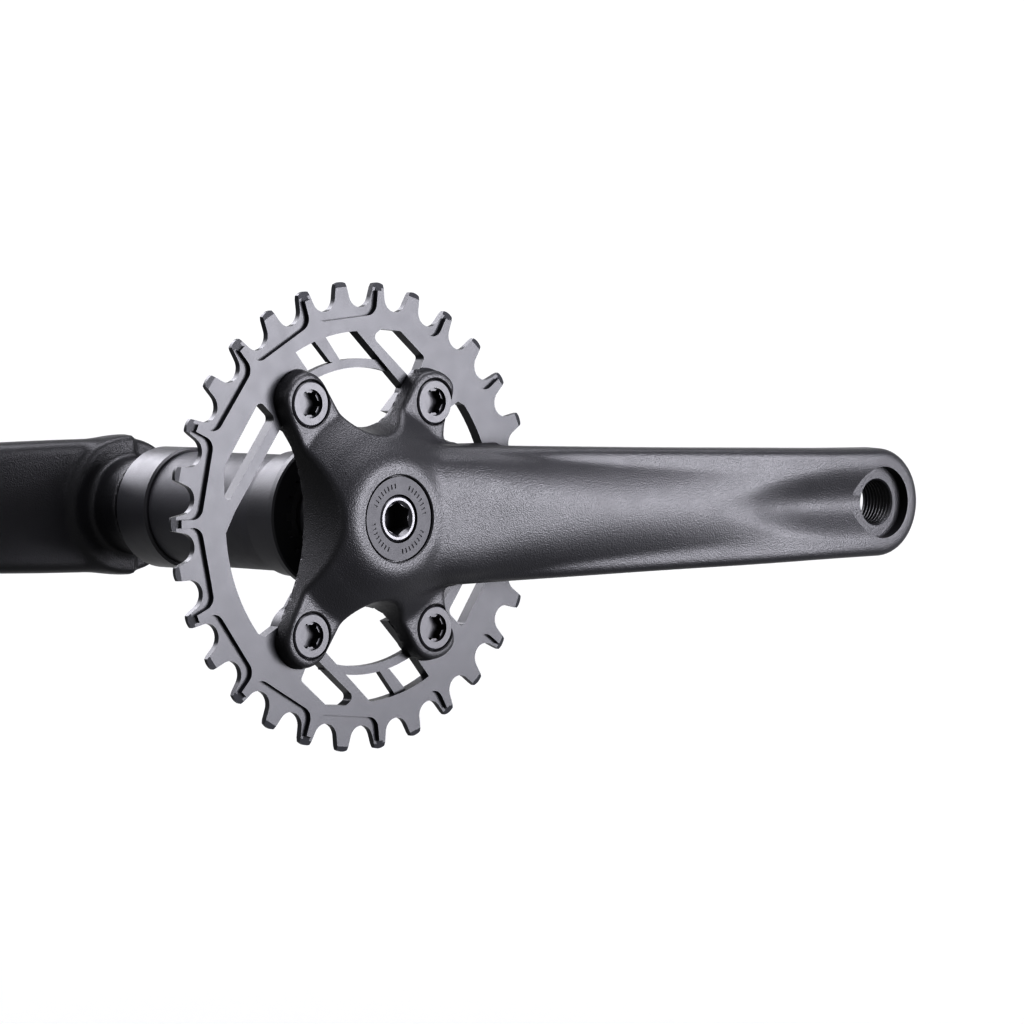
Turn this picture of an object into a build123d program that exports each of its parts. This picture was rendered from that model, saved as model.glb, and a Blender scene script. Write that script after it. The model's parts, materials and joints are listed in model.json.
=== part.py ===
"""Bicycle crankset: right arm with forged spider, left arm, narrow-wide chainring and a
cartridge bottom bracket with its splined spindle.

Units are millimetres. The origin is on the spindle axis, at the middle of the bottom-bracket
shell. +X is forward (the right arm points along +X at rest), +Y is the rider's left and +Z is
up. The chainring and the right arm are on the -Y side. A height h is a distance outboard of
the plane BASE_Y, so that y = BASE_Y - h on the right side.
"""
import os
from math import cos, radians, sin, sqrt

from build123d import *

# ---------------------------------------------------------------- driving dimensions
CRANK_LENGTH = 170.0            # spindle axis to pedal axis
SHELL_WIDTH = 73.0              # threaded bottom-bracket shell that the cartridge fits
BASE_Y = -50.0                  # plane that the heights h are counted from

# chainring
TEETH = 30
CHAIN_PITCH = 12.7
SEAT_R = 3.92                   # roller seat radius
FLANK_ANGLE = 17.0              # tooth flank from radial, degrees
TIP_R = 63.5
TIP_CROWN = 0.4
RING_FRONT = 2.6                # height of the web's outer face
RING_THICKNESS = 3.5
RECESS_FRONT = 1.2              # depth of the pockets for the chain's outer plates
RECESS_BACK = 0.5
RECESS_CHORD = 54.1             # distance of a pocket's straight inner edge from the axis
FINGER_HALF = 1.05              # half width of the rib on each wide tooth
BRIDGE_DROP = 1.4               # the window bridges lie this far below the web's face
BRIDGE_R = (40.6, 43.0)

# chainring bolts
BOLT_X = 21.8
BOLT_Z = 31.0
BOLT_HEAD_R = 6.1
BOLT_SHANK_R = 3.9
SOCKET_MOUTH_R = 3.85           # round mouth of a chainring bolt's star socket
SOCKET_MOUTH_DEPTH = 0.9
SLEEVE_R = 5.0
HOLE_CLEARANCE = 0.05

# spider and hub
SPIDER_FRONT = 7.3              # height of the flats round the chainring bolts
TAB_R = 8.2
BOSS_FRONT = 17.9               # height of the flat boss round the crank bolt
BOSS_R = 14.0
DOME_R = 31.0                   # where the hub's dome meets the spider's flats
REAR_BOSS_R = 14.0
HUB_BACK = -8.0

# crank arm sections: x, height of back, height of front, half height in z, half width of flat
ARM_SECTIONS = (
    (0.0, 4.0, 18.6, 19.6, 12.5),
    (25.0, 6.0, 20.3, 19.2, 11.0),
    (55.0, 10.0, 24.0, 18.4, 9.8),
    (90.0, 15.2, 28.9, 17.5, 9.4),
    (125.0, 20.2, 33.6, 16.8, 9.4),
    (152.0, 22.0, 36.4, 16.3, 9.8),
    (171.0, 22.2, 37.0, 16.0, 10.5),
)
ARM_SHOULDER = 6.0              # the outer flat slopes away by this much towards the edges
EYE_R = 16.0
EYE_BACK = 22.0
EYE_FRONT = 37.0
PEDAL_HOLE_R = 6.55             # 9/16 inch thread, 20 per inch, minor radius
PEDAL_SEAT_R = 10.5
PEDAL_SEAT = 34.0               # height of the flat that the pedal axle's collar rests on
SCOOP_START = 114.0             # the hollow in the outer face widens from here to the pedal's seat
SCOOP_START_HEIGHT = 32.1
SCOOP_END_R = 24.0

# crank bolt, washer and extractor
EXTRACTOR_R = 11.3
EXTRACTOR_BORE_R = 6.55
EXTRACTOR_DROP = 0.4            # below the boss face
EXTRACTOR_THICKNESS = 4.2
RECESS_R = 11.75
COLLAR_R = 6.2
FLANGE_R = 10.0
FLANGE_THICKNESS = 2.2
WASHER_THICKNESS = 1.2
CRANK_BOLT_R = 5.95
CRANK_BOLT_REACH = 20.0
HEX_ACROSS_FLATS = 8.0
SHOULDER_Y = 59.8               # floor of the arm's counterbore, from the middle

# spindle
SPINDLE_END = 59.0
SPINDLE_R = 8.5
SPINDLE_MID_R = 9.8
SPLINE_START = 42.0
SPLINE_MAJOR_R = 8.3
SPLINE_MINOR_R = 7.4
SPLINE_COUNT = 12
SPLINE_GAP = 2.1
SPLINE_CLEARANCE = 0.03

# bearings
BEARING_Y = 28.0
BEARING_HALF = 3.5
RACE_OUTER_R = 15.0
OUTER_LAND_R = 12.9
INNER_LAND_R = 10.6
BALL_R = 2.0
BALL_COUNT = 12
BALL_PITCH_R = 11.75
BALL_GAP = 0.05
CAGE_HALF = 2.5
SEAL_GAP = 0.1

# cartridge and cups
TUBE_R = 16.2
CUP_THREAD_R = 17.4             # 1.37 inch thread, 24 per inch
CUP_FLANGE_R = 20.5
CUP_FLANGE_THICKNESS = 2.3
CUP_BORE_R = 14.0
CUP_NOTCHES = 20
SHELL_HALF = SHELL_WIDTH / 2
LIP_INNER = 33.2                # inner face of the cups' lips, from the middle
CUP_INNER = 23.0

PITCH_R = CHAIN_PITCH / 2 / sin(radians(180 / TEETH))
RING_BACK = RING_FRONT - RING_THICKNESS
SIDES = (("right", -1), ("left", 1))


# ---------------------------------------------------------------- shared shapes
def y_at(height):
    """y of a height h on the right-hand side."""
    return BASE_Y - height


def polar(radius, angle):
    """(x, z) of a point at a radius and an angle in degrees from +X."""
    return radius * cos(radians(angle)), radius * sin(radians(angle))


def turned(points):
    """A closed (radius, y) profile, turned about the Y axis."""
    return revolve(make_face(Polyline(*points, close=True)), Axis.Y)


def plate(outline, height_low, height_high):
    """An (x, z) outline, extruded between two heights on the right-hand side."""
    return extrude(Plane.XZ.offset(-y_at(height_low)) * outline, amount=height_high - height_low)


def washer(r_in, r_out, y_low, y_high):
    return turned(((r_in, y_low), (r_out, y_low), (r_out, y_high), (r_in, y_high)))


def rounded(points, radii):
    """A closed polygon face with its own fillet radius at each corner."""
    return make_face(FilletPolyline(*points, radius=radii, close=True))


def half_turned(shape):
    """The same shape, turned half a turn about the spindle axis."""
    return Rot(0, 180, 0) * shape


def other_side(shape):
    """A right-hand shape, turned about Z to the left-hand side."""
    return Rot(0, 0, 180) * shape


# ---------------------------------------------------------------- chainring
def ring_outline():
    """Thirty teeth: a round seat, two straight flanks and a crowned tip each."""
    slope = radians(FLANK_ANGLE)
    step = 360 / TEETH
    base_u = PITCH_R - SEAT_R * sin(slope)
    base_v = SEAT_R * cos(slope)
    along = base_u * cos(slope) + base_v * sin(slope)
    rise = -along + sqrt(along ** 2 + TIP_R ** 2 - base_u ** 2 - base_v ** 2)
    top_u = base_u + rise * cos(slope)
    top_v = base_v + rise * sin(slope)

    def place(u, v, angle):
        c, s = cos(radians(angle)), sin(radians(angle))
        return u * c - v * s, u * s + v * c

    edges = []
    for k in range(TEETH):
        middle = (k + 0.5) * step
        foot_in = place(base_u, -base_v, middle)
        foot_out = place(base_u, base_v, middle)
        top_in = place(top_u, -top_v, middle)
        top_out = place(top_u, top_v, middle)
        edges.append(Line(top_in, foot_in))
        edges.append(ThreePointArc(foot_in, polar(PITCH_R - SEAT_R, middle), foot_out))
        edges.append(Line(foot_out, top_out))
        next_top = place(top_u, -top_v, middle + step)
        edges.append(ThreePointArc(top_out, polar(TIP_R + TIP_CROWN, middle + step / 2), next_top))
    return make_face(edges)


def recess_outline():
    """Pocket round one narrow tooth that lies along +X, out to beyond the tips."""
    wide = radians(360 / TEETH)
    reach = TIP_R + 4
    along = (RECESS_CHORD - FINGER_HALF * sin(wide)) / cos(wide)
    inner_v = along * sin(wide) - FINGER_HALF * cos(wide)
    outer_u = reach * cos(wide) + FINGER_HALF * sin(wide)
    outer_v = reach * sin(wide) - FINGER_HALF * cos(wide)
    corners = ((RECESS_CHORD, -inner_v), (outer_u, -outer_v), (outer_u, outer_v), (RECESS_CHORD, inner_v))
    return rounded(corners, (3.3, 0.2, 0.2, 3.3))


def window_main():
    """Top window, open to the middle: outer arc, slanted right edge."""
    outer_r = 50.4
    left = polar(outer_r, 117.5)
    right = polar(outer_r, 92.4)
    outline = [
        ThreePointArc(left, polar(outer_r, 105), right),
        Line(right, (15.0, 34.5)),
        Line((15.0, 34.5), (0.0, 20.0)),
        Line((0.0, 20.0), (-19.0, 39.6)),
        Line((-19.0, 39.6), left),
    ]
    return make_face(outline)


def window_left():
    """Large left window, open to the middle: a slanted strut edge above, an arc at the left."""
    outer_r = 47.1
    top = polar(outer_r, 183.4)
    bottom = polar(outer_r, 219.3)
    outline = [
        Line((-14.0, 8.0), (-27.2, 26.4)),
        Line((-27.2, 26.4), (-44.1, 2.6)),
        Line((-44.1, 2.6), top),
        ThreePointArc(top, polar(outer_r, 200), bottom),
        Line(bottom, (-34.2, -30.9)),
        Line((-34.2, -30.9), (-28.0, -27.5)),
        Line((-28.0, -27.5), (-14.0, -8.0)),
        Line((-14.0, -8.0), (-14.0, 8.0)),
    ]
    return make_face(outline)


def slot_top():
    corners = ((3.3, 48.9), (6.5, 50.9), (13.3, 50.4), (22.0, 43.2), (20.2, 39.6), (17.4, 37.0))
    return rounded(corners, (1.5, 1.2, 1.3, 1.0, 0.8, 0.8))


def slot_left():
    corners = ((-47.5, 14.6), (-35.6, 32.0), (-30.3, 27.3), (-45.9, 5.5), (-47.5, 6.9))
    return rounded(corners, (2.5, 1.6, 1.6, 0.9, 0.8))


def bridge():
    """Thin arc across the top window, with one cross strut up to the web."""
    inner_r, outer_r = BRIDGE_R
    start, end = 72.0, 118.0
    band = make_face([
        ThreePointArc(polar(outer_r, start), polar(outer_r, 96), polar(outer_r, end)),
        Line(polar(outer_r, end), polar(inner_r, end)),
        ThreePointArc(polar(inner_r, end), polar(inner_r, 96), polar(inner_r, start)),
        Line(polar(inner_r, start), polar(outer_r, start)),
    ])
    strut = make_face(Polyline((-17.6, 49.6), (-13.0, 50.2), (-6.4, 42.0), (-10.2, 42.0), close=True))
    return band + strut


def chainring():
    void = Circle(30.0)
    for window in (window_main(), window_left()):
        void += window
        void += Rot(0, 0, 180) * window
    lugs = [Pos(x, z) * Circle(TAB_R) for x in (-BOLT_X, BOLT_X) for z in (-BOLT_Z, BOLT_Z)]
    face = ring_outline() - (void - lugs)
    for slot in (slot_top(), slot_left()):
        face -= slot
        face -= Rot(0, 0, 180) * slot
    holes = [Pos(x, z) * Circle(SLEEVE_R + HOLE_CLEARANCE) for x in (-BOLT_X, BOLT_X) for z in (-BOLT_Z, BOLT_Z)]
    ring = plate(face - holes, RING_BACK, RING_FRONT)
    span = bridge()
    thin = plate(span, RING_BACK, RING_FRONT - BRIDGE_DROP)
    ring = ring + [thin, half_turned(thin)]
    pocket = recess_outline()
    front = plate(pocket, RING_FRONT - RECESS_FRONT, RING_FRONT + 2)
    back = plate(pocket, RING_BACK - 2, RING_BACK + RECESS_BACK)
    narrow_step = 720 / TEETH
    cutters = []
    for k in range(TEETH // 2):
        cutters.append(Rot(0, k * narrow_step, 0) * front)
        cutters.append(Rot(0, k * narrow_step, 0) * back)
    return ring - cutters - tooth_bevels()


def tooth_bevels():
    """Cones that thin the teeth towards their tips on both faces."""
    front_low = RING_FRONT - RECESS_FRONT
    back_high = RING_BACK + RECESS_BACK
    far = TIP_R + 4
    bevels = []
    for low, high, side in ((front_low, RING_FRONT + 3, 1), (back_high, RING_BACK - 3, -1)):
        start = y_at(low + 0.25 * side)
        end = y_at(low - 0.45 * side)
        bevels.append(turned(((61.6, start), (TIP_R + 0.6, end), (far, end), (far, y_at(high)), (61.6, y_at(high)))))
    return bevels


def bolt_positions():
    return [(x, z) for x in (-BOLT_X, BOLT_X) for z in (-BOLT_Z, BOLT_Z)]


def star_socket(depth, face_y):
    """Six-lobed recess, cut inboard from the plane face_y, on the Y axis."""
    star = Circle(3.0)
    for k in range(6):
        star += Pos(*polar(2.95, 60 * k)) * Circle(0.8)
    return extrude(Plane.XZ.offset(-(face_y + depth)) * star, amount=depth + 1)


def chainring_bolt():
    """One bolt on the Y axis: flat head with a rounded rim, shank and socket."""
    face = y_at(SPIDER_FRONT)
    seat = face + 2.1
    tip = y_at(RING_BACK) - 0.6
    rim = 0.4
    body = turned((
        (0, face), (BOLT_HEAD_R - rim, face), (BOLT_HEAD_R, face + rim), (BOLT_HEAD_R, seat),
        (BOLT_SHANK_R, seat), (BOLT_SHANK_R, tip), (0, tip),
    ))
    mouth = washer(0, SOCKET_MOUTH_R, face - 1, face + SOCKET_MOUTH_DEPTH)
    return body - [mouth, star_socket(3.2, face)]


def chainring_nut():
    """One sleeve nut on the Y axis: flange behind the ring, sleeve through ring and tab."""
    back = y_at(RING_BACK)
    flange_back = back + 1.4
    sleeve_end = y_at(SPIDER_FRONT) + 2.5
    bore = BOLT_SHANK_R + HOLE_CLEARANCE
    body = turned((
        (bore, sleeve_end), (SLEEVE_R, sleeve_end), (SLEEVE_R, back), (6.4, back),
        (6.4, flange_back - 0.3), (6.1, flange_back), (bore, flange_back),
    ))
    slot = Pos(0, flange_back, 0) * Box(20, 1.4, 1.6)
    return body - slot


# ---------------------------------------------------------------- arms
def spider_outline():
    """Four tabs round the hub, with a rounded V between the upper and the lower pair."""
    reach_x, reach_z = BOLT_X + TAB_R, BOLT_Z + TAB_R
    face = RectangleRounded(2 * reach_x, 2 * reach_z, TAB_R - 0.1)
    gap = rounded(((-1.0, 13.5), (23.0, 49.5), (-25.0, 49.5)), (13.3, 0.5, 0.5))
    left_cut = Pos(-90.5, 0) * Circle(69.5)
    notch = rounded(((26.2, 20.5), (26.2, 25.0), (30.4, 33.5), (38.0, 33.5), (38.0, 20.5)), (1.5, 2.0, 0.5, 0.5, 0.5))
    for shape in (gap, notch):
        face -= shape
        face -= mirror(shape, Plane.XZ)
    return face - left_cut


def hub_dome(edge_r, edge_height, low):
    """The boss face, flowing outwards and down to a rim at edge_r."""
    middle_r = (BOSS_R + edge_r) / 2
    middle_height = edge_height + 0.52 * (BOSS_FRONT - edge_height)
    flow = Spline(
        (BOSS_R, y_at(BOSS_FRONT)), (middle_r, y_at(middle_height)), (edge_r, y_at(edge_height)),
        tangents=((1, 0), (1, 0.45)),
    )
    outline = [
        Line((0, y_at(low)), (0, y_at(BOSS_FRONT))),
        Line((0, y_at(BOSS_FRONT)), (BOSS_R, y_at(BOSS_FRONT))),
        flow,
        Line((edge_r, y_at(edge_height)), (edge_r, y_at(low))),
        Line((edge_r, y_at(low)), (0, y_at(low))),
    ]
    return revolve(make_face(outline), Axis.Y)


def arm_section(x, back, front, half, flat):
    """One cross-section of the arm: outer flat, sloping shoulders, rounded back corners."""
    shoulder = front - ARM_SHOULDER
    heights = ((front, flat), (shoulder, half), (back, half), (back, -half), (shoulder, -half), (front, -flat))
    corners = [(y_at(h), z) for h, z in heights]
    profile = FilletPolyline(*corners, radius=(3.0, 2.5, 3.5, 3.5, 2.5, 3.0), close=True)
    return Plane.YZ.offset(x) * make_face(profile)


def arm_beam():
    sections = [arm_section(*row) for row in ARM_SECTIONS]
    eye = Pos(CRANK_LENGTH, 0, 0) * washer(0, EYE_R, y_at(EYE_FRONT), y_at(EYE_BACK))
    return loft(sections) + fillet(eye.edges().filter_by(GeomType.CIRCLE), 2.0)


def splined_bar(major, minor, gap, start, end):
    """A bar about Y whose teeth stand between SPLINE_COUNT straight grooves."""
    bar = washer(0, major, start, end)
    grooves = []
    for k in range(SPLINE_COUNT):
        groove = Pos(minor + 2, (start + end) / 2, 0) * Box(4, end - start + 1, gap)
        grooves.append(Rot(0, k * 360 / SPLINE_COUNT, 0) * groove)
    return bar - grooves


def arm_bores():
    """Bolt counterbore, extractor recess, splined hole and pedal hole of a right-hand arm."""
    face = y_at(BOSS_FRONT)
    counterbore = washer(0, EXTRACTOR_R + HOLE_CLEARANCE, face - 1, -SHOULDER_Y)
    recess = washer(0, RECESS_R, face - 1, face + EXTRACTOR_DROP)
    major = SPLINE_MAJOR_R + SPLINE_CLEARANCE
    minor = SPLINE_MINOR_R + SPLINE_CLEARANCE
    hole = splined_bar(major, minor, SPLINE_GAP - 2 * SPLINE_CLEARANCE, -SHOULDER_Y - 1, y_at(HUB_BACK) + 1)
    pedal = Pos(CRANK_LENGTH, 0, 0) * washer(0, PEDAL_HOLE_R, y_at(EYE_FRONT) - 1, y_at(EYE_BACK) + 1)
    seat = Pos(CRANK_LENGTH, 0, 0) * washer(0, PEDAL_SEAT_R, y_at(EYE_FRONT) - 1, y_at(PEDAL_SEAT))
    return [counterbore, recess, hole, pedal, seat, outer_scoop()]


def outer_scoop():
    """Shallow hollow between the arm's rails: an oblique cone that widens up to the pedal's seat."""
    tip_r = 0.3
    tip = Plane.YZ.offset(SCOOP_START) * Pos(y_at(SCOOP_START_HEIGHT + tip_r), 0) * Circle(tip_r)
    mouth = Plane.YZ.offset(CRANK_LENGTH - 2) * Pos(y_at(PEDAL_SEAT + 0.3 + SCOOP_END_R), 0) * Circle(SCOOP_END_R)
    return loft([tip, mouth], ruled=True)


def rear_boss():
    return washer(0, REAR_BOSS_R, y_at(SPIDER_FRONT), y_at(HUB_BACK))


def right_arm():
    outline = spider_outline()
    flats = plate(outline, RING_FRONT, SPIDER_FRONT)
    arm_strip = Pos(24, 0) * Rectangle(48, 2 * 19.2)
    hub = hub_dome(DOME_R, SPIDER_FRONT, RING_FRONT)
    hub = hub & plate(outline + arm_strip, RING_FRONT - 1, BOSS_FRONT + 1)
    body = flats + hub + arm_beam() + rear_boss()
    for x, z in bolt_positions():
        seat = Pos(x, 0, z) * washer(0, BOLT_HEAD_R + 0.25, y_at(SPIDER_FRONT) - 1, y_at(SPIDER_FRONT) + 2.1)
        hole = Pos(x, 0, z) * washer(0, SLEEVE_R + HOLE_CLEARANCE, y_at(SPIDER_FRONT), y_at(RING_FRONT) + 1)
        body -= [seat, hole]
    return body - arm_bores()


def left_arm():
    hub = hub_dome(19.4, 13.5, 4.0)
    body = hub + arm_beam() + rear_boss()
    return other_side(body - arm_bores())


def crank_bolt():
    """Right-hand bolt: collar, flange, shank and a hexagon socket."""
    collar_face = y_at(BOSS_FRONT) + EXTRACTOR_DROP + 0.1
    flange_low = -SHOULDER_Y - WASHER_THICKNESS - FLANGE_THICKNESS
    flange_high = -SHOULDER_Y - WASHER_THICKNESS
    tip = -SHOULDER_Y + CRANK_BOLT_REACH
    rim = 0.5
    body = turned((
        (0, collar_face), (COLLAR_R - rim, collar_face), (COLLAR_R, collar_face + rim), (COLLAR_R, flange_low),
        (FLANGE_R, flange_low), (FLANGE_R, flange_high), (CRANK_BOLT_R, flange_high),
        (CRANK_BOLT_R, tip - 1), (CRANK_BOLT_R - 1, tip), (0, tip),
    ))
    corner_r = HEX_ACROSS_FLATS / sqrt(3)
    socket_depth = 7.0
    hexagon = RegularPolygon(corner_r, 6, rotation=30)
    socket = extrude(Plane.XZ.offset(-(collar_face + socket_depth)) * hexagon, amount=socket_depth + 1)
    lead_in = turned(((0, collar_face - 1), (5.9, collar_face - 1), (4.1, collar_face + 0.9), (0, collar_face + 0.9)))
    return body - socket - lead_in


def bolt_washer():
    return washer(CRANK_BOLT_R + 0.25, FLANGE_R + 0.4, -SHOULDER_Y - WASHER_THICKNESS, -SHOULDER_Y)


def extractor_ring():
    """Threaded ring over the bolt's flange, with groups of engraved ticks on its face."""
    face = y_at(BOSS_FRONT) + EXTRACTOR_DROP
    body = washer(EXTRACTOR_BORE_R, EXTRACTOR_R, face, face + EXTRACTOR_THICKNESS)
    ticks = []
    positions, group, spaces = 44, 11, 3
    for k in range(positions):
        if k % group >= spaces:
            tick = Pos(8.9, face, 0) * Box(1.3, 0.5, 0.42)
            ticks.append(Rot(0, k * 360 / positions, 0) * tick)
    return body - ticks


# ---------------------------------------------------------------- spindle and bearings
def spindle():
    groove = LIP_INNER - 1.6
    half = turned((
        (0, 0), (SPINDLE_MID_R, 0), (SPINDLE_MID_R, BEARING_Y - BEARING_HALF), (SPINDLE_R, BEARING_Y - BEARING_HALF),
        (SPINDLE_R, groove), (SPINDLE_R - 0.4, groove), (SPINDLE_R - 0.4, groove + 1.2), (SPINDLE_R, groove + 1.2),
        (SPINDLE_R, SPLINE_START), (0, SPLINE_START),
    ))
    half += splined_bar(SPLINE_MAJOR_R, SPLINE_MINOR_R, SPLINE_GAP, SPLINE_START, SPINDLE_END)
    half -= washer(0, CRANK_BOLT_R + HOLE_CLEARANCE, SHOULDER_Y - CRANK_BOLT_REACH - 4, SPINDLE_END + 1)
    return half + other_side(half)


def retaining_ring():
    """Open snap ring in the spindle's groove, on the left side."""
    low = LIP_INNER - 1.55
    ring = washer(SPINDLE_R - 0.38, 10.2, low, low + 1.1)
    opening = Pos(0, low, 12) * Box(5, 6, 12)
    return ring - opening


def ball_groove():
    """The torus that both race grooves are cut with, centred on the origin."""
    return Rot(90, 0, 0) * Torus(BALL_PITCH_R, BALL_R + BALL_GAP)


def inner_race():
    return washer(SPINDLE_R + 0.01, INNER_LAND_R, -BEARING_HALF, BEARING_HALF) - ball_groove()


def outer_race():
    return washer(OUTER_LAND_R, RACE_OUTER_R, -BEARING_HALF, BEARING_HALF) - ball_groove()


def ball_positions():
    return [polar(BALL_PITCH_R, 360 / BALL_COUNT * k) for k in range(BALL_COUNT)]


def balls():
    return Compound([Pos(x, 0, z) * Sphere(BALL_R) for x, z in ball_positions()])


def ball_cage():
    ribbon = washer(11.15, 12.35, -CAGE_HALF, CAGE_HALF)
    return ribbon - [Pos(x, 0, z) * Sphere(BALL_R + 0.1) for x, z in ball_positions()]


def bearing_seal():
    """Outboard shield of a bearing centred on the origin; it stays with the outer race."""
    return washer(INNER_LAND_R + SEAL_GAP, OUTER_LAND_R - 0.02, BEARING_HALF - 0.75, BEARING_HALF - 0.05)


# ---------------------------------------------------------------- bottom bracket
def notches(y_low, y_high, depth_r):
    """Tool notches round a cup's mouth."""
    cuts = []
    for k in range(CUP_NOTCHES):
        cut = Pos(CUP_BORE_R + (depth_r - CUP_BORE_R) / 2 - 0.5, (y_low + y_high) / 2, 0)
        cut = cut * Box(depth_r - CUP_BORE_R + 1, y_high - y_low, 2.0)
        cuts.append(Rot(0, k * 360 / CUP_NOTCHES, 0) * cut)
    return cuts


def cup(flange):
    """Left-hand cup: threaded sleeve over the tube, lip and, with flange, a stop."""
    end = SHELL_HALF + CUP_FLANGE_THICKNESS if flange else SHELL_HALF + 0.5
    sleeve_r = TUBE_R + 0.05
    points = [
        (CUP_BORE_R, LIP_INNER), (sleeve_r, LIP_INNER), (sleeve_r, CUP_INNER), (CUP_THREAD_R - 0.6, CUP_INNER),
        (CUP_THREAD_R, CUP_INNER + 0.6),
    ]
    if flange:
        points += [(CUP_THREAD_R, SHELL_HALF), (CUP_FLANGE_R, SHELL_HALF), (CUP_FLANGE_R, end - 0.5)]
        points += [(CUP_FLANGE_R - 0.5, end)]
    else:
        points += [(CUP_THREAD_R, end - 0.5), (CUP_THREAD_R - 0.5, end)]
    points.append((CUP_BORE_R, end))
    return turned(points) - notches(end - 2.6, end + 1, 15.6)


def dust_seal():
    """Rubber lip seal in the left-hand cup's mouth."""
    low = LIP_INNER
    return turned((
        (SPINDLE_R + SEAL_GAP, low + 0.6), (SPINDLE_R + 1.0, low), (CUP_BORE_R - 0.02, low), (CUP_BORE_R - 0.02, low + 1.4),
        (SPINDLE_R + 1.0, low + 1.4), (SPINDLE_R + SEAL_GAP, low + 1.0),
    ))


def cartridge_tube():
    return washer(RACE_OUTER_R + 0.02, TUBE_R, -LIP_INNER, LIP_INNER)


def spacer_sleeve():
    reach = BEARING_Y - BEARING_HALF
    return washer(13.6, RACE_OUTER_R - 0.02, -reach, reach)


# ---------------------------------------------------------------- write every piece
def placed_on_bolts(shape):
    return Compound([Pos(x, 0, z) * shape for x, z in bolt_positions()])


def on_side(shape, side):
    """Put a left-hand or centred shape on a side: -1 right, 1 left."""
    return shape if side > 0 else other_side(shape)


def all_pieces():
    pieces = {
        "right_crank_arm": right_arm(),
        "left_crank_arm": left_arm(),
        "chainring": chainring(),
        "chainring_bolts": placed_on_bolts(chainring_bolt()),
        "chainring_nuts": placed_on_bolts(chainring_nut()),
        "spindle": spindle(),
        "cartridge_tube": cartridge_tube(),
        "spacer_sleeve": spacer_sleeve(),
        "cup_right": other_side(cup(flange=True)),
        "cup_left": cup(flange=False),
    }
    outboard_seal = bearing_seal()
    for name, side in SIDES:
        at_bearing = Pos(0, side * BEARING_Y, 0)
        pieces[f"crank_bolt_{name}"] = on_side(other_side(crank_bolt()), side)
        pieces[f"bolt_washer_{name}"] = on_side(other_side(bolt_washer()), side)
        pieces[f"extractor_ring_{name}"] = on_side(other_side(extractor_ring()), side)
        pieces[f"retaining_ring_{name}"] = on_side(retaining_ring(), side)
        pieces[f"dust_seal_{name}"] = on_side(dust_seal(), side)
        pieces[f"inner_race_{name}"] = at_bearing * inner_race()
        pieces[f"outer_race_{name}"] = at_bearing * outer_race()
        pieces[f"bearing_balls_{name}"] = at_bearing * balls()
        pieces[f"ball_cage_{name}"] = at_bearing * ball_cage()
        pieces[f"bearing_seal_outer_{name}"] = at_bearing * on_side(outboard_seal, side)
        pieces[f"bearing_seal_inner_{name}"] = at_bearing * on_side(outboard_seal, -side)
    return pieces


os.makedirs("parts", exist_ok=True)
for node, piece in all_pieces().items():
    export_step(piece, f"parts/{node}.step")
    print(node, round(piece.volume, 1))
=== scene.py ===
"""Looks of the bicycle crankset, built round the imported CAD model.

The two forged arms are new meshes: each is a field of signed distances (negative inside) that is
turned into a mesh, and its bores are then cut with lathe-turned cutters. Everything else is the
CAD node itself with a procedural material. Arm shapes are in millimetres: x is along the arm
from the spindle axis, h is the height outboard of the plane BASE, and z is up.
"""

import json
from math import cos, radians, sin, tau

import bmesh
import bpy
import numpy as np
from mathutils import Matrix, Vector


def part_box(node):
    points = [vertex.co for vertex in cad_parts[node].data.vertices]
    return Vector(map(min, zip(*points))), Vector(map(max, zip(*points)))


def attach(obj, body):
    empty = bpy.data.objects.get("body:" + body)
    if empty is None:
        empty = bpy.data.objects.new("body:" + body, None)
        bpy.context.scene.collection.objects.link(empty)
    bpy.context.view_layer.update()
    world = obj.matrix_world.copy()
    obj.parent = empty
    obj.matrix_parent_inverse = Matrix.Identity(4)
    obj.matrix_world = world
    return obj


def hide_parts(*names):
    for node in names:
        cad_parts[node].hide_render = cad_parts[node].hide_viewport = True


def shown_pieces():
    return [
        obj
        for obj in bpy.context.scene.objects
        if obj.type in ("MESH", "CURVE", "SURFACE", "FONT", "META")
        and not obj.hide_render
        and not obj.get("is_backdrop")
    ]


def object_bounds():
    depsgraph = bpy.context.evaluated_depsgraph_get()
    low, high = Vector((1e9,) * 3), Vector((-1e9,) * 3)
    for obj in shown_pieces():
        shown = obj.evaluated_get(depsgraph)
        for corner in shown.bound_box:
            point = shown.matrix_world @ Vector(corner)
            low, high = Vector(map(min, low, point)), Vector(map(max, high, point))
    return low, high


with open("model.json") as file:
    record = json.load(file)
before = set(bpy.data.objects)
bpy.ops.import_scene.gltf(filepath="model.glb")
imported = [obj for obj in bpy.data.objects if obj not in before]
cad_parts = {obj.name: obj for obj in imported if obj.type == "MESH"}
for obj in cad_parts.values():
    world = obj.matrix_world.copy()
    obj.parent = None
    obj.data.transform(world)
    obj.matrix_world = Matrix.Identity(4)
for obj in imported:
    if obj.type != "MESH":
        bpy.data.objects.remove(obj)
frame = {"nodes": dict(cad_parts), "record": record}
cad_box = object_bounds()

MM = 0.001
MOUNTS = {m["name"]: m for m in frame["record"]["mounts"]}

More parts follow.
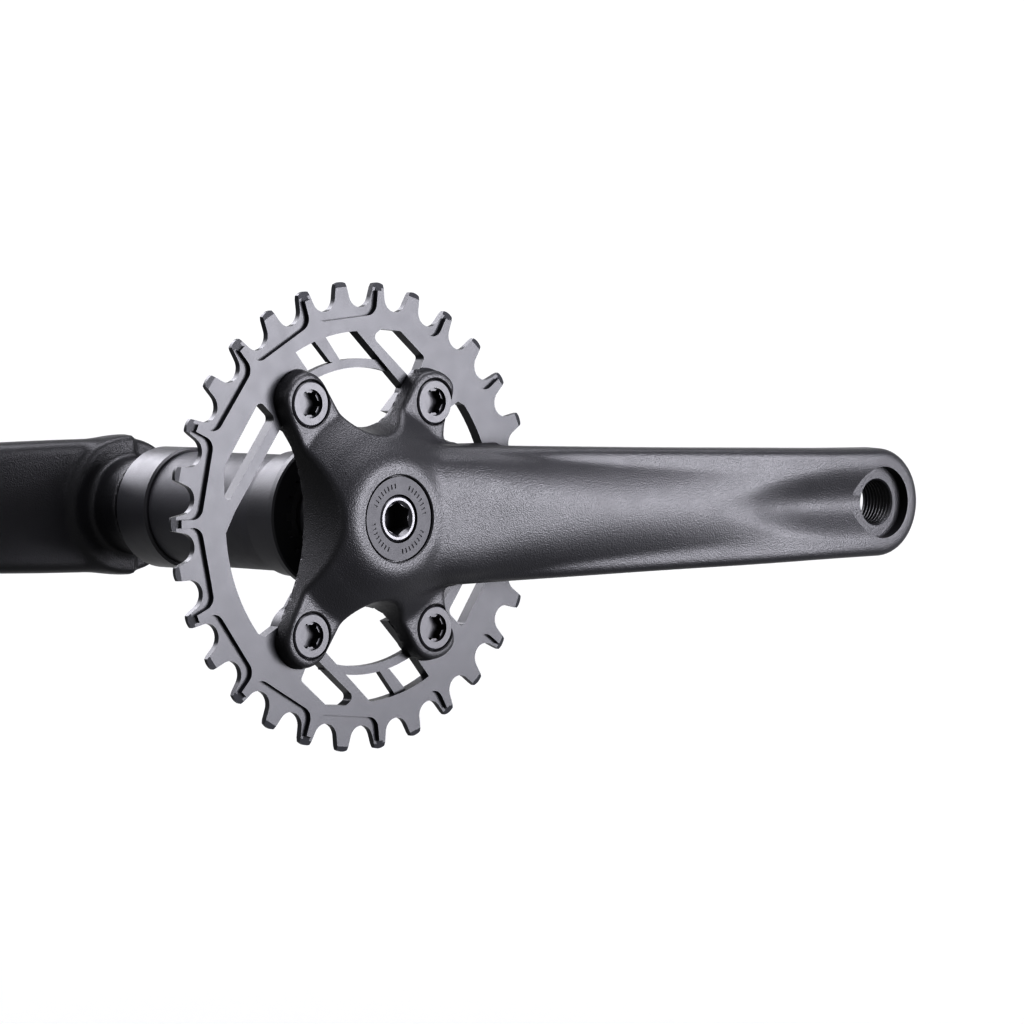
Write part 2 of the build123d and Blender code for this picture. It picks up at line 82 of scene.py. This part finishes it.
# ---------------------------------------------------------------- sizes, in millimetres
CRANK_LENGTH = MOUNTS["pedal_thread_right"]["pos_m"][0] / MM
PEDAL_BORE_R = MOUNTS["pedal_thread_right"]["dims"]["r_mm"]
HEAD_R = 6.1                    # chainring bolt head
BOLT_X = -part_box("chainring_bolts")[0].x / MM - HEAD_R
BOLT_Z = -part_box("chainring_bolts")[0].z / MM - HEAD_R
BOLT_SLEEVE_R = 5.05            # hole for a chainring bolt's sleeve nut
RING_FRONT = 2.6                # height of the chainring's outer face
BASE = -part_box("chainring")[0].y / MM - RING_FRONT
EYE_FRONT = -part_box("right_crank_arm")[0].y / MM - BASE
HUB_BACK = -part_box("right_crank_arm")[1].y / MM - BASE
BOSS_FRONT = EYE_FRONT - 19.1   # flat boss round the crank bolt
PEDAL_SEAT = EYE_FRONT - 3      # flat that the pedal axle's collar rests on
PEDAL_SEAT_R = 10.5
THREAD_PITCH = 1.27             # pedal thread, 20 per inch
THREAD_DEPTH = 0.35
SPIDER_FRONT = 7.3              # flats round the chainring bolts
TAB_R = 9.4
DRAFT = 0.22                    # the spider's sides lean in by this much per height
DOME_R = 30.6                   # where the hub's dome meets the spider's flats
DOME_SLACK = 0.8                # the dome's height field is scaled down, as it is steeper than a distance
STRIP_HALF = 19.4               # half width of the spider's middle, under the arm's root
STRIP_END = 48.0
REAR_BOSS_R = 14.0
LEFT_HUB_R = 19.4
LEFT_HUB_BACK = 4.0
ARM_SIDE_DRAFT = 0.05
RECESS_R = 11.75                # shallow recess round the extractor ring
RECESS_DEPTH = 1.4
EXTRACTOR_BORE_R = 11.35
SPINDLE_HOLE_R = 8.33
SHOULDER_Y = 59.8               # floor of the extractor's bore, from the middle of the shell
CUT_PAST = 4.0                  # cutters reach this far beyond a face
MESH_STEP = 0.75

# profiles along the arm: (x, value)
BACK = ((-20, 3), (0, 4), (25, 6), (55, 10), (90, 15.2), (125, 20.2), (152, 22.0), (190, 22.2))
HALF = (
    (-20, 19.9), (0, 19.6), (25, 19.2), (55, 18.4), (90, 17.5), (125, 16.8), (152, 16.25), (190, 15.9),
)
RAIL = (
    (-20, 10.5), (0, 12.0), (20, 14.3), (60, 21.9), (100, 29.3), (120, 32.9), (152, 36.2), (171, 36.75),
    (190, 36.75),
)
CROWN = (
    (-20, 4.5), (0, 4.5), (14, 4.2), (20, 4.3), (40, 4.2), (60, 3.6), (80, 2.9), (100, 2.0), (118, 1.0),
    (138, 0), (190, 0),
)
CROWN_POWER = ((-20, 4), (20, 4), (40, 3.1), (60, 2.3), (80, 2), (190, 2))
VALLEY = ((-20, 18), (20, 17.8), (36, 16.4), (58, 14.4), (75, 12.9), (93, 11.6), (111, 10.7), (190, 10.0))
EDGE = ((-20, 5.0), (35, 4.8), (60, 3.2), (90, 2.8), (190, 3.0))
SCOOP = ((-20, 0), (104, 0), (116, 0.4), (129, 1.6), (143, 2.8), (156, 3.1), (190, 3.0))
SCOOP_HALF = ((-20, 3), (100, 3), (112, 4.5), (129, 8.5), (140, 10.0), (156, 11.4), (190, 11.4))

# the hub's dome: (radius, height)
DOME = (
    (0, BOSS_FRONT), (13.8, BOSS_FRONT), (15.2, BOSS_FRONT - 0.25), (22.9, 12.9),
    (DOME_R, SPIDER_FRONT), (36, 5.0),
)


# ---------------------------------------------------------------- fields of signed distance
def curve(x, knots):
    """Smooth interpolation through (x, value) knots that never overshoots them."""
    xs, ys = np.array(knots, float).T
    secants = np.diff(ys) / np.diff(xs)
    before, after = secants[:-1], secants[1:]
    same_way = before * after > 0
    inner = np.where(same_way, 2 * before * after / np.where(same_way, before + after, 1), 0)
    slopes = np.concatenate((secants[:1], inner, secants[-1:]))
    x = np.clip(x, xs[0], xs[-1])
    i = np.clip(np.searchsorted(xs, x, side="right") - 1, 0, len(xs) - 2)
    width = xs[i + 1] - xs[i]
    t = (x - xs[i]) / width
    rise = t * t * (3 - 2 * t)
    start = t * (1 - t) ** 2 * width * slopes[i]
    end = t * t * (1 - t) * width * slopes[i + 1]
    return ys[i] * (1 - rise) + ys[i + 1] * rise + start - end


def both(a, b, k):
    """Where both fields are inside, with an edge rounded over about k."""
    t = np.clip(0.5 + 0.5 * (a - b) / k, 0, 1)
    return b * (1 - t) + a * t + k * t * (1 - t)


def either(a, b, k):
    """Where either field is inside, with a fillet of about k."""
    return -both(-a, -b, k)


def ease(t):
    t = np.clip(t, 0, 1)
    return t * t * (3 - 2 * t)


def spider_plan(x, z):
    """Outline seen along the axis: four tabs, two rounded V gaps, a round left end, notches by the arm."""
    wide = np.abs(z)
    from_x = np.abs(x) - BOLT_X
    from_z = wide - BOLT_Z
    corner = np.hypot(np.maximum(from_x, 0), np.maximum(from_z, 0))
    plan = np.minimum(np.maximum(from_x, from_z), 0) + corner - TAB_R
    gap_x, gap_z, gap_r, slope = np.abs(x + 1), wide - 37.5, 13.0, 1.5
    scale = np.hypot(1, slope)
    along = (gap_x + slope * gap_z) / scale
    gap = np.where(along > 0, (slope * gap_x - gap_z) / scale, np.hypot(gap_x, gap_z)) - gap_r
    plan = both(plan, -gap, 4.0)
    left_r, left_x = 46.0, -67.2
    plan = both(plan, left_r - np.hypot(x - left_x, z), 4.0)
    notch = both(26.2 - x, 26.2 + 0.45 * (wide - 25) - x, 1.5)
    notch = both(notch, 20.5 - wide, 2.0)
    return both(plan, -notch, 2.5)


def spider(x, h, z):
    """Flats round the chainring bolts with the hub's dome over them."""
    strip = np.maximum(np.abs(z) - STRIP_HALF, np.maximum(x - STRIP_END, -x))
    plan = np.minimum(spider_plan(x, z), strip)
    dome = curve(np.hypot(x, z), DOME)
    top = either(h - SPIDER_FRONT, (h - dome) * DOME_SLACK, 0.5)
    body = both(plan + DRAFT * (h - RING_FRONT), top, 1.1)
    return np.maximum(body, RING_FRONT - h)


def round_hub(x, h, z):
    """Round hub of the left arm."""
    r = np.hypot(x, z)
    dome = curve(r, DOME)
    body = both(r - LEFT_HUB_R, (h - dome) * DOME_SLACK, 2.5)
    return both(body, LEFT_HUB_BACK - h, 1.5)


def rear_boss(x, h, z):
    r = np.hypot(x, z)
    body = both(r - REAR_BOSS_R, HUB_BACK - h, 1.0)
    return np.maximum(body, h - SPIDER_FRONT)


def outer_face(x, across):
    """Height of the arm's outer face: a flat rail along each edge, a crown between them, then a scoop."""
    valley = curve(x, VALLEY)
    crown = curve(x, CROWN) * (1 - (across / valley) ** curve(x, CROWN_POWER))
    crown = (crown + np.hypot(crown, 0.4)) / 2
    scoop = curve(x, SCOOP) * (1 - ease(across / curve(x, SCOOP_HALF)))
    return curve(x, RAIL) + crown - scoop


def beam(x, h, z):
    """The arm itself; past the pedal axis its section runs round the eye."""
    across = np.where(x > CRANK_LENGTH, np.hypot(x - CRANK_LENGTH, z), np.abs(z))
    middle = (curve(x, BACK) + curve(x, RAIL)) / 2
    side = across - curve(x, HALF) + ARM_SIDE_DRAFT * np.abs(h - middle)
    body = both(side, h - outer_face(x, across), curve(x, EDGE))
    body = both(body, curve(x, BACK) - h, 4.0)
    return np.maximum(body, -x)


def right_arm_field(x, h, z):
    """Spider and beam; their fillet is tight by the crown and widens towards the rails."""
    hub = either(spider(x, h, z), rear_boss(x, h, z), 2.0)
    fillet = 0.8 + 2.2 * ease((np.abs(z) - 9) / 8)
    return either(hub, beam(x, h, z), fillet)


def left_arm_field(x, h, z):
    hub = either(round_hub(x, h, z), rear_boss(x, h, z), 2.0)
    return either(hub, beam(x, h, z), 4.0)


# ---------------------------------------------------------------- field to mesh
def crossings(values, start, axis, step):
    """Where grid edges along one axis cross the surface: mask, and the crossing points."""
    low = np.take(values, range(values.shape[axis] - 1), axis)
    high = np.take(values, range(1, values.shape[axis]), axis)
    mask = (low < 0) != (high < 0)
    share = np.where(mask, low / np.where(mask, low - high, 1), 0)
    places = list(np.meshgrid(*[s + step * np.arange(n) for s, n in zip(start, low.shape)], indexing="ij"))
    places[axis] = places[axis] + share * step
    return mask, places


def surface_net(values, start, step):
    """Dual mesh of a field's zero surface: vertices (n, 3) and quads (m, 4)."""
    cells = tuple(n - 1 for n in values.shape)
    total = np.zeros(cells + (3,))
    count = np.zeros(cells, int)
    masks = []
    for axis in range(3):
        mask, places = crossings(values, start, axis, step)
        masks.append(mask)
        others = [a for a in range(3) if a != axis]
        for da in (0, 1):
            for db in (0, 1):
                part = [slice(None)] * 3
                part[others[0]] = slice(da, da + cells[others[0]])
                part[others[1]] = slice(db, db + cells[others[1]])
                part = tuple(part)
                count += mask[part]
                for c in range(3):
                    total[..., c] += np.where(mask[part], places[c][part], 0)
    used = count > 0
    index = np.full(cells, -1)
    index[used] = np.arange(used.sum())
    points = total[used] / count[used][:, None]
    quads = []
    for axis in range(3):
        others = [a for a in range(3) if a != axis]
        mask = masks[axis].copy()
        for a in others:
            edge = [slice(None)] * 3
            edge[a] = [0, -1]
            mask[tuple(edge)] = False
        at = np.argwhere(mask)
        ring = []
        for da, db in ((1, 1), (0, 1), (0, 0), (1, 0)):
            shift = np.zeros(3, int)
            shift[others[0]], shift[others[1]] = da, db
            ring.append(index[tuple((at - shift).T)])
        ring = np.array(ring).T
        inside_low = values[tuple(at.T)] < 0
        flip = inside_low if axis == 1 else ~inside_low
        ring[flip] = ring[flip][:, ::-1]
        quads.append(ring)
    return points, np.concatenate(quads)


def settle(points, field, rounds=4, reach=0.02):
    """Moves points along the field's slope until they lie on its zero surface."""
    for _ in range(rounds):
        here = field(*points.T)
        slope = np.zeros_like(points)
        for c in range(3):
            ahead, behind = points.copy(), points.copy()
            ahead[:, c] += reach
            behind[:, c] -= reach
            slope[:, c] = (field(*ahead.T) - field(*behind.T)) / (2 * reach)
        steep = np.maximum((slope ** 2).sum(1), 0.2)
        move = -(here / steep)[:, None] * slope
        points = points + np.clip(move, -0.4, 0.4)
    return points


def field_mesh(name, field, low, high):
    """A Blender object from a field, in the right-hand arm's place."""
    axes = [np.arange(a, b + MESH_STEP, MESH_STEP) for a, b in zip(low, high)]
    values = field(axes[0][:, None, None], axes[1][None, :, None], axes[2][None, None, :])
    points, quads = surface_net(values, low, MESH_STEP)
    points = settle(points, field)
    points = np.stack([points[:, 0], -(BASE + points[:, 1]), points[:, 2]], 1) * MM
    mesh = bpy.data.meshes.new(name)
    mesh.from_pydata(points.tolist(), [], quads.tolist())
    mesh.validate()
    return link(name, mesh)


def link(name, mesh):
    made = bpy.data.objects.new(name, mesh)
    bpy.context.scene.collection.objects.link(made)
    return made


# ---------------------------------------------------------------- bores
def lathe(profile, centre=(0, 0), segments=128):
    """A closed mesh turned about the spindle's direction from (radius, height) pairs, axis to axis."""
    bm = bmesh.new()
    rings = []
    for r, h in profile:
        y = -(BASE + h) * MM
        if r == 0:
            rings.append([bm.verts.new((centre[0] * MM, y, centre[1] * MM))])
            continue
        turn = [tau * k / segments for k in range(segments)]
        rings.append([
            bm.verts.new(((centre[0] + r * cos(t)) * MM, y, (centre[1] + r * sin(t)) * MM))
            for t in turn
        ])
    for one, two in zip(rings, rings[1:]):
        for k in range(segments):
            n = (k + 1) % segments
            if len(one) == 1:
                bm.faces.new((one[0], two[k], two[n]))
            elif len(two) == 1:
                bm.faces.new((one[k], two[0], one[n]))
            else:
                bm.faces.new((one[k], two[k], two[n], one[n]))
    return bm


def threaded(r, top, bottom):
    """Profile of a threaded wall from a top height down to a bottom height."""
    points, h = [], top
    while h - THREAD_PITCH > bottom:
        points += [(r, h), (r, h - 0.3 * THREAD_PITCH), (r + THREAD_DEPTH, h - 0.65 * THREAD_PITCH)]
        h -= THREAD_PITCH
    return points + [(r, h), (r, bottom)]


def joined(meshes):
    whole = bpy.data.meshes.new("cutter")
    bm = bmesh.new()
    for part in meshes:
        step = bpy.data.meshes.new("part")
        part.to_mesh(step)
        part.free()
        bm.from_mesh(step)
        bpy.data.meshes.remove(step)
    bmesh.ops.recalc_face_normals(bm, faces=bm.faces)
    bm.to_mesh(whole)
    bm.free()
    return whole


def arm_cutters(with_seats):
    """Recess, extractor bore and spindle hole, the pedal's seat and thread, and the bolts' seats."""
    recess_floor = BOSS_FRONT - RECESS_DEPTH
    shoulder = SHOULDER_Y - BASE
    chamfer_r = SPINDLE_HOLE_R + 0.6
    hub = (
        (0, 26), (RECESS_R + 0.3, 26), (RECESS_R + 0.3, BOSS_FRONT), (RECESS_R, BOSS_FRONT - 0.3),
        (RECESS_R, recess_floor), (EXTRACTOR_BORE_R, recess_floor), (EXTRACTOR_BORE_R, shoulder),
        (SPINDLE_HOLE_R, shoulder), (SPINDLE_HOLE_R, HUB_BACK + 0.5), (chamfer_r, HUB_BACK - 0.1),
        (chamfer_r, HUB_BACK - CUT_PAST), (0, HUB_BACK - CUT_PAST),
    )
    back = curve(CRANK_LENGTH, BACK)
    pedal = [
        (0, EYE_FRONT + 3), (PEDAL_SEAT_R, EYE_FRONT + 3), (PEDAL_SEAT_R, PEDAL_SEAT),
        (PEDAL_BORE_R + 0.4, PEDAL_SEAT),
    ]
    pedal += threaded(PEDAL_BORE_R, PEDAL_SEAT - 0.4, back + 0.4)
    pedal += [(PEDAL_BORE_R + 0.6, back - 0.2), (PEDAL_BORE_R + 0.6, back - CUT_PAST), (0, back - CUT_PAST)]
    cutters = [lathe(hub), lathe(pedal, (CRANK_LENGTH, 0))]
    if with_seats:
        seat_r, seat_floor = HEAD_R + 0.25, SPIDER_FRONT - 2.1
        seat = (
            (0, 12), (HEAD_R + 0.6, 12), (HEAD_R + 0.6, SPIDER_FRONT), (seat_r, SPIDER_FRONT - 0.3),
            (seat_r, seat_floor), (BOLT_SLEEVE_R, seat_floor), (BOLT_SLEEVE_R, RING_FRONT - 2),
            (0, RING_FRONT - 2),
        )
        for x in (-BOLT_X, BOLT_X):
            for z in (-BOLT_Z, BOLT_Z):
                cutters.append(lathe(seat, (x, z), 72))
    return joined(cutters)


def bored(body, cutter_mesh):
    """Cuts the bores and keeps the result as the body's own mesh."""
    cutter = link("cutter", cutter_mesh)
    cut = body.modifiers.new("bores", "BOOLEAN")
    cut.operation, cut.solver, cut.object = "DIFFERENCE", "EXACT", cutter
    bpy.context.view_layer.update()
    result = bpy.data.meshes.new_from_object(body.evaluated_get(bpy.context.evaluated_depsgraph_get()))
    body.modifiers.clear()
    body.data = result
    bpy.data.objects.remove(cutter)
    result.shade_smooth()
    result.set_sharp_from_angle(angle=radians(32))


def build_arm(name, field, low, with_seats, node):
    arm = field_mesh(name, field, low, (188.0, 39.0, -low[2]))
    bored(arm, arm_cutters(with_seats))
    if node.startswith("left"):
        arm.data.transform(Matrix.Rotation(tau / 2, 4, "Z"))
    arm.data.materials.append(MATERIALS["arm_black"])
    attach(arm, "crankset")
    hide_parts(node)
    return arm


# ---------------------------------------------------------------- materials
def node_material(name, roughness, metallic, specular):
    """A new material and its principled shader, with even values set on the shader itself."""
    made = bpy.data.materials.new(name)
    made.use_nodes = True
    shader = made.node_tree.nodes["Principled BSDF"]
    shader.inputs["Roughness"].default_value = roughness
    shader.inputs["Metallic"].default_value = metallic
    shader.inputs["Specular IOR Level"].default_value = specular
    return made, shader


def add(made, kind, **settings):
    new = made.node_tree.nodes.new(kind)
    for key, value in settings.items():
        if key in new.inputs:
            new.inputs[key].default_value = value
        else:
            setattr(new, key, value)
    return new


def wire(made, source, socket):
    made.node_tree.links.new(source, socket)


def noise(made, scale, detail, stretch=(1, 1, 1)):
    """Noise in the piece's own space, scale in features per metre."""
    place = add(made, "ShaderNodeTexCoord")
    mapping = add(made, "ShaderNodeMapping")
    mapping.inputs["Scale"].default_value = stretch
    texture = add(made, "ShaderNodeTexNoise", Scale=scale, Detail=detail)
    wire(made, place.outputs["Object"], mapping.inputs["Vector"])
    wire(made, mapping.outputs["Vector"], texture.inputs["Vector"])
    return texture.outputs["Fac"]


def spread(made, source, low, high):
    """The source's middle range, 0.35 to 0.65, as a value between low and high."""
    ranged = add(made, "ShaderNodeMapRange")
    for socket, value in zip(ranged.inputs[1:5], (0.35, 0.65, low, high)):
        socket.default_value = value
    wire(made, source, ranged.inputs[0])
    return ranged.outputs[0]


def tint(made, source, dark, light):
    mix = add(made, "ShaderNodeMix", data_type="RGBA")
    mix.inputs[6].default_value = (*dark, 1)
    mix.inputs[7].default_value = (*light, 1)
    wire(made, source, mix.inputs[0])
    return mix.outputs[2]


def bumped(made, source, distance):
    bump = add(made, "ShaderNodeBump", Distance=distance, Strength=1.0)
    wire(made, source, bump.inputs["Height"])
    return bump.outputs["Normal"]


def finish_material(name, dark, light, roughness, metallic, cloud, grain, specular=0.5, stretch=(1, 1, 1)):
    """Clouded colour, roughness that varies about its middle, and a fine grain (scale, depth)."""
    made, shader = node_material(name, roughness, metallic, specular)
    clouds = noise(made, cloud, 4.0, stretch)
    wire(made, tint(made, clouds, dark, light), shader.inputs["Base Color"])
    patches = noise(made, cloud * 3, 3.0, stretch)
    uneven = spread(made, patches, roughness * 0.95, roughness * 1.05)
    wire(made, uneven, shader.inputs["Roughness"])
    scale, depth = grain
    wire(made, bumped(made, noise(made, scale, 2.0, stretch), depth), shader.inputs["Normal"])
    return made


FINISHES = {
    "arm_black": dict(
        dark=(0.004, 0.004, 0.0046), light=(0.006, 0.006, 0.0068), roughness=0.37, metallic=0.0,
        cloud=60, grain=(2600, 0.00013), specular=0.17,
    ),
    "ring_grey": dict(
        dark=(0.006, 0.0063, 0.0072), light=(0.009, 0.0093, 0.0105), roughness=0.33, metallic=0.0,
        cloud=70, grain=(2600, 0.000008), specular=0.125,
    ),
    "bolt_black": dict(
        dark=(0.007, 0.007, 0.008), light=(0.01, 0.01, 0.0115), roughness=0.32, metallic=0.0,
        cloud=300, grain=(2500, 0.00001), specular=0.14,
    ),
    "nut_steel": dict(
        dark=(0.10, 0.10, 0.11), light=(0.15, 0.15, 0.16), roughness=0.32, metallic=0.9,
        cloud=300, grain=(2500, 0.00001),
    ),
    "extractor_grey": dict(
        dark=(0.007, 0.007, 0.008), light=(0.011, 0.011, 0.012), roughness=0.42, metallic=0.0,
        cloud=200, grain=(2400, 0.00002), specular=0.10,
    ),
    "crank_bolt_black": dict(
        dark=(0.008, 0.008, 0.009), light=(0.012, 0.012, 0.0135), roughness=0.26, metallic=0.0,
        cloud=250, grain=(2200, 0.00001), specular=0.22,
    ),
    "washer_steel": dict(
        dark=(0.42, 0.42, 0.43), light=(0.55, 0.55, 0.56), roughness=0.35, metallic=1.0,
        cloud=200, grain=(1600, 0.00002),
    ),
    "spindle_steel": dict(
        dark=(0.30, 0.30, 0.31), light=(0.42, 0.42, 0.43), roughness=0.30, metallic=1.0,
        cloud=60, grain=(1200, 0.00002), stretch=(1, 12, 1),
    ),
    "tube_black": dict(
        dark=(0.01, 0.01, 0.011), light=(0.015, 0.015, 0.017), roughness=0.48, metallic=0.0,
        cloud=80, grain=(1800, 0.00002), specular=0.12,
    ),
    "cup_black": dict(
        dark=(0.009, 0.009, 0.010), light=(0.014, 0.014, 0.0155), roughness=0.40, metallic=0.0,
        cloud=90, grain=(1800, 0.00002), specular=0.15,
    ),
    "spacer_alloy": dict(
        dark=(0.50, 0.50, 0.51), light=(0.62, 0.62, 0.63), roughness=0.33, metallic=1.0,
        cloud=90, grain=(1400, 0.00002), stretch=(1, 10, 1),
    ),
    "bearing_steel": dict(
        dark=(0.48, 0.48, 0.49), light=(0.60, 0.60, 0.61), roughness=0.16, metallic=1.0,
        cloud=150, grain=(1500, 0.00001),
    ),
    "cage_brass": dict(
        dark=(0.50, 0.36, 0.14), light=(0.62, 0.46, 0.20), roughness=0.30, metallic=1.0,
        cloud=150, grain=(1500, 0.00002),
    ),
    "seal_rubber": dict(
        dark=(0.014, 0.014, 0.015), light=(0.026, 0.026, 0.028), roughness=0.62, metallic=0.0,
        cloud=150, grain=(1500, 0.00004),
    ),
    "snap_steel": dict(
        dark=(0.12, 0.12, 0.13), light=(0.20, 0.20, 0.21), roughness=0.30, metallic=1.0,
        cloud=150, grain=(1500, 0.00001),
    ),
}
MATERIALS = {name: finish_material(name, **finish) for name, finish in FINISHES.items()}

for part in frame["record"]["subparts"]:
    node = frame["nodes"][part["node"]]
    node.data.materials.clear()
    node.data.materials.append(MATERIALS[part["material_slot"]])

build_arm("crank_arm_right_forged", right_arm_field, (-32.0, HUB_BACK - 1.5, -41.0), True, "right_crank_arm")
build_arm("crank_arm_left_forged", left_arm_field, (-22.0, HUB_BACK - 1.5, -22.0), False, "left_crank_arm")


# ---------------------------------------------------------------- floor, light, camera
LIGHT_AIM = (0.03, -0.06, 0.0)
LIGHT_COLOUR = (1.0, 0.99, 1.07)
FLOOR_REACH = 30.0
FLOOR_GAP = 0.0004              # under the circle that the arms' ends swing through


def floor():
    """A floor just below the lowest point that the arms reach as they turn."""
    mesh = bpy.data.meshes.new("floor")
    r, z = FLOOR_REACH, cad_box[0].x - FLOOR_GAP
    corners = [(-r, -r, z), (r, -r, z), (r, r, z), (-r, r, z)]
    mesh.from_pydata(corners, [], [(0, 1, 2, 3)])
    plane = link("floor", mesh)
    made, shader = node_material("floor_pale", 0.65, 0.0, 0.3)
    pale = tint(made, noise(made, 0.8, 2.0), (0.965, 0.965, 0.97), (0.98, 0.98, 0.985))
    wire(made, pale, shader.inputs["Base Color"])
    mesh.materials.append(made)
    plane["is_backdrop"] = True


def lit_pieces():
    """The object's pieces as a collection: the softboxes light only them, and only they block that light."""
    lit = bpy.data.collections.new("lit_pieces")
    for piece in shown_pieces():
        lit.objects.link(piece)
    return lit


def softbox(name, lit, towards, distance, size, power):
    """An area light at (azimuth, elevation) of the object, facing it; azimuth 0 is on the -Y side."""
    a, e = radians(towards[0]), radians(towards[1])
    back = Vector((sin(a) * cos(e), -cos(a) * cos(e), sin(e)))
    light = bpy.data.lights.new(name, "AREA")
    light.shape, light.size, light.size_y, light.energy = "RECTANGLE", size[0], size[1], power
    light.color = LIGHT_COLOUR
    lamp = bpy.data.objects.new(name, light)
    bpy.context.scene.collection.objects.link(lamp)
    lamp.location = Vector(LIGHT_AIM) + back * distance
    lamp.rotation_mode = "QUATERNION"
    lamp.rotation_quaternion = back.to_track_quat("Z", "Y")
    lamp.visible_camera = False
    lamp.light_linking.receiver_collection = lit
    lamp.light_linking.blocker_collection = lit
    lamp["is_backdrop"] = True


def world_light():
    world = bpy.data.worlds.new("studio")
    world.use_nodes = True
    background = world.node_tree.nodes["Background"]
    background.inputs["Color"].default_value = (0.93, 0.93, 0.94, 1)
    background.inputs["Strength"].default_value = 0.79
    bpy.context.scene.world = world


def camera():
    """The photograph's viewpoint, measured from the chainring's plane on the spindle axis."""
    azimuth, elevation, roll = radians(-41.894), radians(2.568), radians(-0.098)
    distance, across, up_by, lens = 1.0651, 0.04204, 0.001257, 137.8
    back = Vector((sin(azimuth) * cos(elevation), -cos(azimuth) * cos(elevation), sin(elevation)))
    right = Vector((cos(azimuth), sin(azimuth), 0))
    up = back.cross(right)
    right, up = right * cos(roll) + up * sin(roll), up * cos(roll) - right * sin(roll)
    data = bpy.data.cameras.new("camera")
    data.lens, data.sensor_width, data.clip_start, data.clip_end = lens, 36.0, 0.05, 100.0
    view = bpy.data.objects.new("camera", data)
    bpy.context.scene.collection.objects.link(view)
    place = Vector((0, -BASE * MM, 0)) + back * distance + right * across + up * up_by
    axes = Matrix((right, up, back)).transposed()
    view.matrix_world = Matrix.Translation(place) @ axes.to_4x4()
    bpy.context.scene.camera = view


floor()
lit = lit_pieces()
softbox("key", lit, (27, 2), 1.5, (1.0, 0.9), 113)
softbox("top", lit, (20, 75), 1.4, (1.4, 0.7), 48)
softbox("left", lit, (-110, 20), 1.6, (0.8, 1.0), 20)
softbox("back", lit, (190, 35), 1.8, (1.4, 0.9), 45)
world_light()
camera()
settings = bpy.context.scene.view_settings
settings.view_transform, settings.look = "Standard", "High Contrast"
